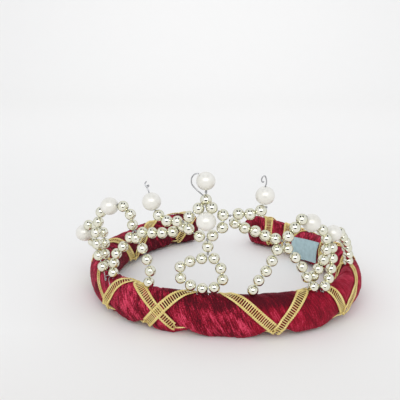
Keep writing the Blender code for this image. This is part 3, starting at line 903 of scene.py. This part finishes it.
def blue_patch(material):
    """The tape, lying on the velvet with its edges curling up a little."""
    across = np.linspace(0, 1, PATCH_STEPS)
    u, v = (g.ravel() for g in np.meshgrid(across, across, indexing="ij"))
    angle = PATCH_ANGLES[0] + (PATCH_ANGLES[1] - PATCH_ANGLES[0]) * u
    top = PATCH_TOP[0] + (PATCH_TOP[1] - PATCH_TOP[0]) * u
    bottom = PATCH_BOTTOM[0] + (PATCH_BOTTOM[1] - PATCH_BOTTOM[0]) * u
    winding = top + (bottom - top) * v
    edge = np.abs(2 * u - 1) ** 6 + np.abs(2 * v - 1) ** 6
    seat = PATCH_SEAT + PATCH_CURL * edge + PATCH_RIPPLE * grain(u * 3, v * 3, 4.2)
    under = band_surface(angle, winding, seat)
    over = band_surface(angle, winding, seat + PATCH_THICKNESS)
    n = PATCH_STEPS
    starts = [i * n + j for i in range(n - 1) for j in range(n - 1)]
    faces = [(a, a + 1, a + n + 1, a + n) for a in starts]
    top = [tuple(k + n * n for k in reversed(face)) for face in faces]
    rim = list(range(n)) + [i * n + n - 1 for i in range(1, n)]
    rim += [(n - 1) * n + j for j in range(n - 2, -1, -1)] + [i * n for i in range(n - 2, 0, -1)]
    walls = [(a, b, b + n * n, a + n * n) for a, b in zip(rim, rim[1:] + rim[:1])]
    patch = new_piece("blue_tape", np.concatenate([under, over]), faces + top + walls, material)
    layer = patch.data.uv_layers.new(name="tape")
    for loop in patch.data.loops:
        k = loop.vertex_index % (n * n)
        layer.data[loop.index].uv = (u[k], v[k])
    return patch


patch = blue_patch(tape_cloth())
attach(patch, "root")
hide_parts("inner_patch")

# The bead strings: bright silvered 6 mm beads, drilled, threaded on a fine bright wire. Each
# string stands where its plain one stands in the frame, bead for bead.
BEAD_RADIUS = 3.0 * MM
BEAD_HOLE = 0.55 * MM
BEAD_SIDES = 32
BEAD_RINGS = 15
BEAD_VOTES = 20
WIRE_RADIUS = 0.27 * MM
WIRE_SIDES = 8
STRINGS = (
    "centre_loop", "centre_stem", "flower_ring", "top_stem",
    "left_strand", "left_spike", "left_loop_rise", "left_loop_fall", "left_outer_leg",
    "left_inner_leg", "left_side_rise", "left_side_fall",
    "right_strand", "right_spike", "right_loop_rise", "right_loop_fall", "right_outer_leg",
    "right_inner_leg", "right_side_rise", "right_side_fall",
)
SILVER_DARK = (0.84, 0.83, 0.67, 1)
SILVER_LIGHT = (0.93, 0.91, 0.80, 1)
SILVER_EDGE = (0.50, 0.50, 0.38, 1)
WIRE_DARK = (0.36, 0.36, 0.37, 1)
WIRE_LIGHT = (0.62, 0.62, 0.63, 1)


def silver_plate():
    """Bright plating of a warm, slightly yellow silver."""
    material, shader = new_material("silver plate")
    tone = own_noise(material, Scale=320.0, Detail=2.0, Roughness=0.5)
    colour_by(material, shader, tone, (0.35, SILVER_DARK), (0.65, SILVER_LIGHT))
    shader.inputs["Metallic"].default_value = 1.0
    shader.inputs["Roughness"].default_value = 0.06
    shader.inputs["Specular Tint"].default_value = SILVER_EDGE
    return material


def bright_wire():
    """Plain drawn wire with fine draw marks."""
    material, shader = new_material("bright wire")
    marks = own_noise(material, Scale=900.0, Detail=2.0, Roughness=0.6)
    colour_by(material, shader, marks, (0.0, WIRE_DARK), (1.0, WIRE_LIGHT))
    shader.inputs["Metallic"].default_value = 1.0
    shader.inputs["Roughness"].default_value = 0.22
    return material


def string_of(node):
    """Bead centres in order along a plain string, and the ends of its wire. Opposite points of
    a bead lie one diameter apart, so most midpoints of such pairs fall on the bead's centre."""
    points = np.array([v.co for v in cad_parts[node].data.vertices])
    points = np.unique(np.round(points, 6), axis=0)
    apart = np.linalg.norm(points[:, None] - points[None], axis=2)
    first, second = np.where(np.abs(apart - 2 * BEAD_RADIUS) < 0.02 * MM)
    middles = (points[first] + points[second]) / 2
    close = np.linalg.norm(middles[:, None] - middles[None], axis=2) < 0.05 * MM
    votes = close.sum(1)
    centres = []
    while votes.max() > BEAD_VOTES:
        best = votes.argmax()
        centres.append(middles[close[best]].mean(0))
        votes[np.linalg.norm(middles - centres[-1], axis=1) < BEAD_RADIUS] = 0
    centres = np.array(centres)
    gaps = np.linalg.norm(centres[:, None] - centres[None], axis=2)
    neighbours = (gaps < 2.5 * BEAD_RADIUS).sum(1) - 1
    closed = len(centres) > 2 and neighbours.min() > 1
    order = [0 if closed else int(neighbours.argmin())]
    while len(order) < len(centres):
        rest = [i for i in range(len(centres)) if i not in order]
        order.append(min(rest, key=lambda i: gaps[order[-1], i]))
    centres = centres[order]
    if closed:
        return centres, None
    to_bead = np.linalg.norm(points[:, None] - centres[None], axis=2)
    loose = points[to_bead.min(1) > BEAD_RADIUS + 0.1 * MM]
    ends = []
    for bead, inward in ((0, 1), (-1, -2)):
        if len(centres) > 1:
            away = centres[bead] - centres[inward]
        else:
            away = np.array([0, 0, -1.0 if bead == 0 else 1.0])
        reach = (loose - centres[bead]) @ (away / np.linalg.norm(away))
        near = np.linalg.norm(loose - centres[bead], axis=1) < 3 * BEAD_RADIUS
        reach = np.where(near, reach, -1)
        ends.append(loose[reach > reach.max() - 0.5 * MM].mean(0))
    return centres, ends


def upright_frame(along):
    """Two directions square to a direction, and the direction itself."""
    along = along / np.linalg.norm(along)
    helper = np.array([0, 0, 1.0]) if abs(along[2]) < 0.9 else np.array([1.0, 0, 0])
    side = np.cross(helper, along)
    side /= np.linalg.norm(side)
    return side, np.cross(along, side), along


def drilled_ball(radius, hole, sides, rings, flat=1.0):
    """Points (side, out, along) and faces of a ball with a bore right through."""
    start = math.asin(hole / radius)
    tilt = np.linspace(start, math.pi - start, rings)
    profile = [(radius * math.sin(t), -radius * flat * math.cos(t)) for t in tilt]
    lip = (hole * 0.75, profile[-1][1] - 0.25 * hole)
    inner = (hole * 0.7, 0.0)
    profile = [*profile, lip, inner, (lip[0], -lip[1])]
    points = []
    for reach, along in profile:
        for turn in np.arange(sides) * 2 * math.pi / sides:
            points.append((reach * math.cos(turn), reach * math.sin(turn), along))
    faces = []
    for ring in range(len(profile)):
        after = (ring + 1) % len(profile)
        for side in range(sides):
            other = (side + 1) % sides
            near, far = ring * sides, after * sides
            faces.append((near + side, near + other, far + other, far + side))
    return np.array(points), faces


def smooth_line(rows, steps):
    """A smooth line through points."""
    rows = np.asarray(rows, float)
    padded = np.concatenate([2 * rows[:1] - rows[1:2], rows, 2 * rows[-1:] - rows[-2:-1]])
    t = np.arange(steps)[:, None] / steps
    line = []
    for a, b, c, d in zip(padded, padded[1:], padded[2:], padded[3:]):
        line.append(0.5 * (2 * b + (c - a) * t + (2 * a - 5 * b + 4 * c - d) * t**2
                           + (3 * b - a - 3 * c + d) * t**3))
    return np.concatenate([*line, rows[-1:]])


def wire_rings(line, radius):
    """Rings round a line, carried along without twist."""
    run = np.gradient(line, axis=0)
    run /= np.linalg.norm(run, axis=1, keepdims=True)
    side, out, _ = upright_frame(run[0])
    sides_at, outs_at = [], []
    for direction in run:
        side = side - direction * (side @ direction)
        side /= np.linalg.norm(side)
        sides_at.append(side)
        outs_at.append(np.cross(direction, side))
    return ring_points(line, np.array(sides_at), np.array(outs_at), radius, radius, WIRE_SIDES)


def add_wire(stock, rows, radius=WIRE_RADIUS, steps=8):
    """A length of round wire bent through points."""
    line = smooth_line(rows, steps)
    stock.add(wire_rings(line, radius), tube_faces(len(line), WIRE_SIDES))


def add_beads(stock, centres, ends):
    """The beads of one string, each bored along the way to its neighbours."""
    ball, faces = drilled_ball(BEAD_RADIUS, BEAD_HOLE, BEAD_SIDES, BEAD_RINGS)
    chain = [centres[-1], *centres, centres[0]] if ends is None else [ends[0], *centres, ends[1]]
    for before, centre, after in zip(chain, chain[1:], chain[2:]):
        side, out, along = upright_frame(np.asarray(after) - before)
        stock.add(centre + ball @ np.array([side, out, along]), faces)


SILVER = silver_plate()
WIRE = bright_wire()
strung = {node: string_of(node) for node in STRINGS}
for node, (centres, ends) in strung.items():
    beads = Stock()
    add_beads(beads, centres, ends)
    string = beads.piece(node + "_beads", SILVER)
    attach(string, "root")
    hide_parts(node)
    thread = Stock()
    if ends is None:
        add_wire(thread, [*centres, centres[0]])
    else:
        add_wire(thread, [ends[0], *centres, ends[1]])
    core = thread.piece(node + "_wire", WIRE)
    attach(core, "root")

# The pearls: 10 mm round cream pearls with a thick glossy coat, drilled through and held on the
# end of a string's wire, and one in the middle of the flower.
PEARLS = (
    "flower_pearl", "top_pearl", "left_spike_pearl", "right_spike_pearl",
    "left_loop_pearl", "right_loop_pearl", "left_side_pearl", "right_side_pearl",
)
PEARL_SIDES = 48
PEARL_RINGS = 25
PEARL_HOLE = 0.6 * MM
FLOWER_SHIFT = np.array([1.0, -0.6, 0.7]) * MM
FLOWER_RADIUS = 5.1 * MM
PEARL_DARK = (0.74, 0.715, 0.64, 1)
PEARL_LIGHT = (0.82, 0.80, 0.745, 1)


def pearl_coat():
    """Cream pearl with a cloudy tone and a glossy coat."""
    material, shader = new_material("cream pearl")
    cloud = own_noise(material, Scale=260.0, Detail=3.0, Roughness=0.55)
    colour_by(material, shader, cloud, (0.3, PEARL_DARK), (0.7, PEARL_LIGHT))
    shader.inputs["Metallic"].default_value = 0.20
    shader.inputs["Roughness"].default_value = 0.36
    shader.inputs["Specular IOR Level"].default_value = 0.6
    shader.inputs["Coat Weight"].default_value = 0.5
    shader.inputs["Coat Roughness"].default_value = 0.24
    return material


PEARL = pearl_coat()
for node in PEARLS:
    low, high = (np.array(corner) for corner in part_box(node))
    radius, flat = (high[0] - low[0]) / 2, (high[2] - low[2]) / (high[0] - low[0])
    middle = (low + high) / 2
    if node == "flower_pearl":
        middle, radius = middle + FLOWER_SHIFT, FLOWER_RADIUS
    ball, faces = drilled_ball(radius, PEARL_HOLE, PEARL_SIDES, PEARL_RINGS, flat)
    pearl = new_piece(node + "_coated", middle + ball, faces, PEARL)
    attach(pearl, "root")
    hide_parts(node)

# The bare wire ends: the wire of a string, bent back beside or above the pearl that it holds.
# A row is an angle on the hoop, a height, and a lean outwards from the hoop's centre line.
END_WIRE_RADIUS = 0.34 * MM
WIRE_ENDS = {  # name: rows of angle, height in mm, lean in mm
    "top_pearl_wire": (
        (-101.0, 88.9, 0.8),
        (-102.6, 88.6, 1.2),
        (-103.8, 86.6, 1.5),
        (-103.8, 83.6, 1.6),
        (-102.4, 81.2, 1.6),
        (-100.6, 79.2, 1.6),
        (-99.2, 77.6, 1.2),
    ),
    "left_spike_tip": (
        (-123.4, 75.6, -1.4),
        (-124.0, 77.4, -1.5),
        (-124.9, 78.9, -1.7),
        (-124.3, 79.7, -2.3),
        (-123.8, 79.1, -1.6),
        (-124.6, 79.2, -1.0),
        (-125.2, 80.6, -1.2),
        (-124.8, 81.8, -1.7),
    ),
    "right_spike_hook": (
        (-75.1, 82.6, 1.0),
        (-74.7, 84.4, 1.0),
        (-74.8, 86.6, 1.0),
        (-75.4, 88.2, 1.0),
        (-76.2, 87.6, 1.0),
        (-76.6, 86.1, 1.0),
        (-76.1, 84.9, 1.0),
        (-75.6, 85.4, 1.0),
    ),
}


def hoop_place(angle, height, lean):
    """A point over the hoop."""
    radius, turn = hoop_radius(angle) + lean * MM, math.radians(angle)
    x = HOOP_CENTRE[0] + radius * math.cos(turn)
    y = HOOP_CENTRE[1] + radius * math.sin(turn)
    return (x, y, height * MM)


for node, rows in WIRE_ENDS.items():
    bend = Stock()
    add_wire(bend, [hoop_place(*row) for row in rows], END_WIRE_RADIUS)
    wire_end = bend.piece(node + "_bend", WIRE)
    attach(wire_end, "root")
    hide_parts(node)

# The twists and stitches: where a string ends, its wire goes a few times round its neighbour, and
# at its feet loose loops and stitches of the wire hold it down on the velvet.
TWIST_TURNS = 2.6
TWIST_RADIUS = 0.50 * MM
TWIST_PITCH = 0.50 * MM
TWIST_WIRE = 0.20 * MM
TWIST_BACK = 0.12
STITCHES = (  # rows of angle, winding, height above the padding in mm
    ((213.5, 52, 0.6), (215.5, 60, 2.4), (218.5, 72, 3.0), (220.0, 88, 2.8), (218.0, 103, 1.8),
     (216.5, 112, 0.4)),
    ((216.0, 66, 0.6), (217.6, 56, 1.9), (219.2, 46, 1.6), (219.8, 41, 0.3)),
    ((256.0, 112, 0.3), (256.8, 100, 1.5), (257.8, 88, 1.3), (258.2, 82, 0.2)),
    ((261.2, 112, 0.3), (262.0, 100, 1.5), (262.8, 88, 1.2), (263.0, 82, 0.2)),
    ((302.8, 104, 0.5), (304.2, 92, 2.6), (306.8, 90, 2.9), (309.0, 100, 1.8), (309.6, 112, 0.3)),
    ((303.6, 100, 0.4), (305.0, 84, 2.0), (307.2, 80, 2.2), (309.4, 88, 1.6), (310.6, 100, 0.6)),
    ((307.4, 96, 1.4), (308.0, 84, 2.2), (308.4, 74, 1.7), (308.6, 64, 0.2)),
)


def twist(place, direction):
    """Points of a short coil round a wire."""
    side, out, along = upright_frame(np.asarray(direction, float))
    turns = np.linspace(0, TWIST_TURNS, int(TWIST_TURNS * 10))
    rise = (turns - TWIST_TURNS / 2) * TWIST_PITCH
    round_it = 2 * math.pi * turns
    spin = np.cos(round_it)[:, None] * side + np.sin(round_it)[:, None] * out
    return place + TWIST_RADIUS * spin + rise[:, None] * along


twists = Stock()
for centres, ends in strung.values():
    if ends is not None:
        for end, bead in zip(ends, (centres[0], centres[-1])):
            coil = twist(end + TWIST_BACK * (bead - end), end - bead)
            add_wire(twists, coil, TWIST_WIRE, steps=1)
for rows in STITCHES:
    add_wire(twists, [band_surface(a, w, h * MM) for a, w, h in rows], TWIST_WIRE)
wire_twists = twists.piece("wire_twists", WIRE)
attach(wire_twists, "root")
